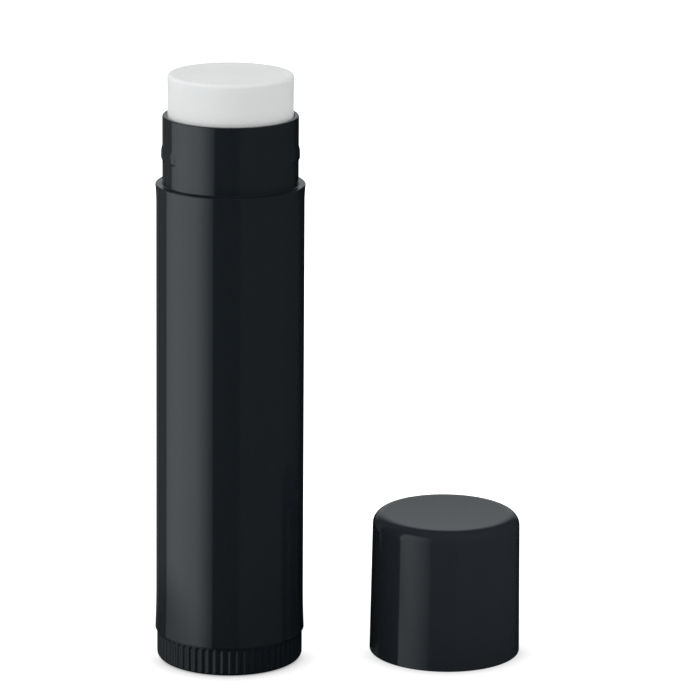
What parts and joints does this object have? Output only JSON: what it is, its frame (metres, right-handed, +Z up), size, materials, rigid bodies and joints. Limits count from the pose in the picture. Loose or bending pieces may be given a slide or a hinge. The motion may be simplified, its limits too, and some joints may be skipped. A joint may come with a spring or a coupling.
{
  "type": "lip balm stick",
  "caption": "Twist-up lip balm stick, open with the balm slightly raised, ribbed thumb wheel below, and its round cap standing loose beside it.",
  "frame": {"origin": "centre of the thumb wheel's flat foot, on the stick's axis, at the level both pieces stand on", "axes": "+Z up the stick's axis towards the balm, +X towards the loose cap, +Y away from the viewer"},
  "size_m": [0.0394, 0.0187, 0.0638],
  "materials": {
    "black_plastic": "polished injection-moulded polypropylene, near-black with a faint cool tint",
    "natural_plastic": "uncoloured translucent polypropylene, as moulded",
    "balm_wax": "soft white wax balm, smooth satin skin"
  },
  "bodies": {
    "barrel": {"barrel": "black_plastic"},
    "twist_base": {"base_knob": "black_plastic", "screw_spindle": "natural_plastic"},
    "carriage": {"elevator_cup": "natural_plastic", "balm": "balm_wax"},
    "cap": {"cap": "black_plastic"}
  },
  "joints": [
    {"name": "base_twist", "type": "hinge", "parent": "barrel", "child": "twist_base", "pos_m": [0, 0, 0], "axis": [0, 0, 1], "range_deg": [-601, 3841]},
    {"name": "balm_lift", "type": "slide", "parent": "barrel", "child": "carriage", "axis": [0, 0, 1], "range_m": [-0.005, 0.032]},
    {"name": "cap_lift", "type": "slide", "parent": "barrel", "child": "cap", "axis": [0, 0, 1], "range_m": [0, 0.07]}
  ],
  "couplings": [
    {"joint": "base_twist", "follows": "balm_lift", "rad_per_m": 2094.4}
  ]
}
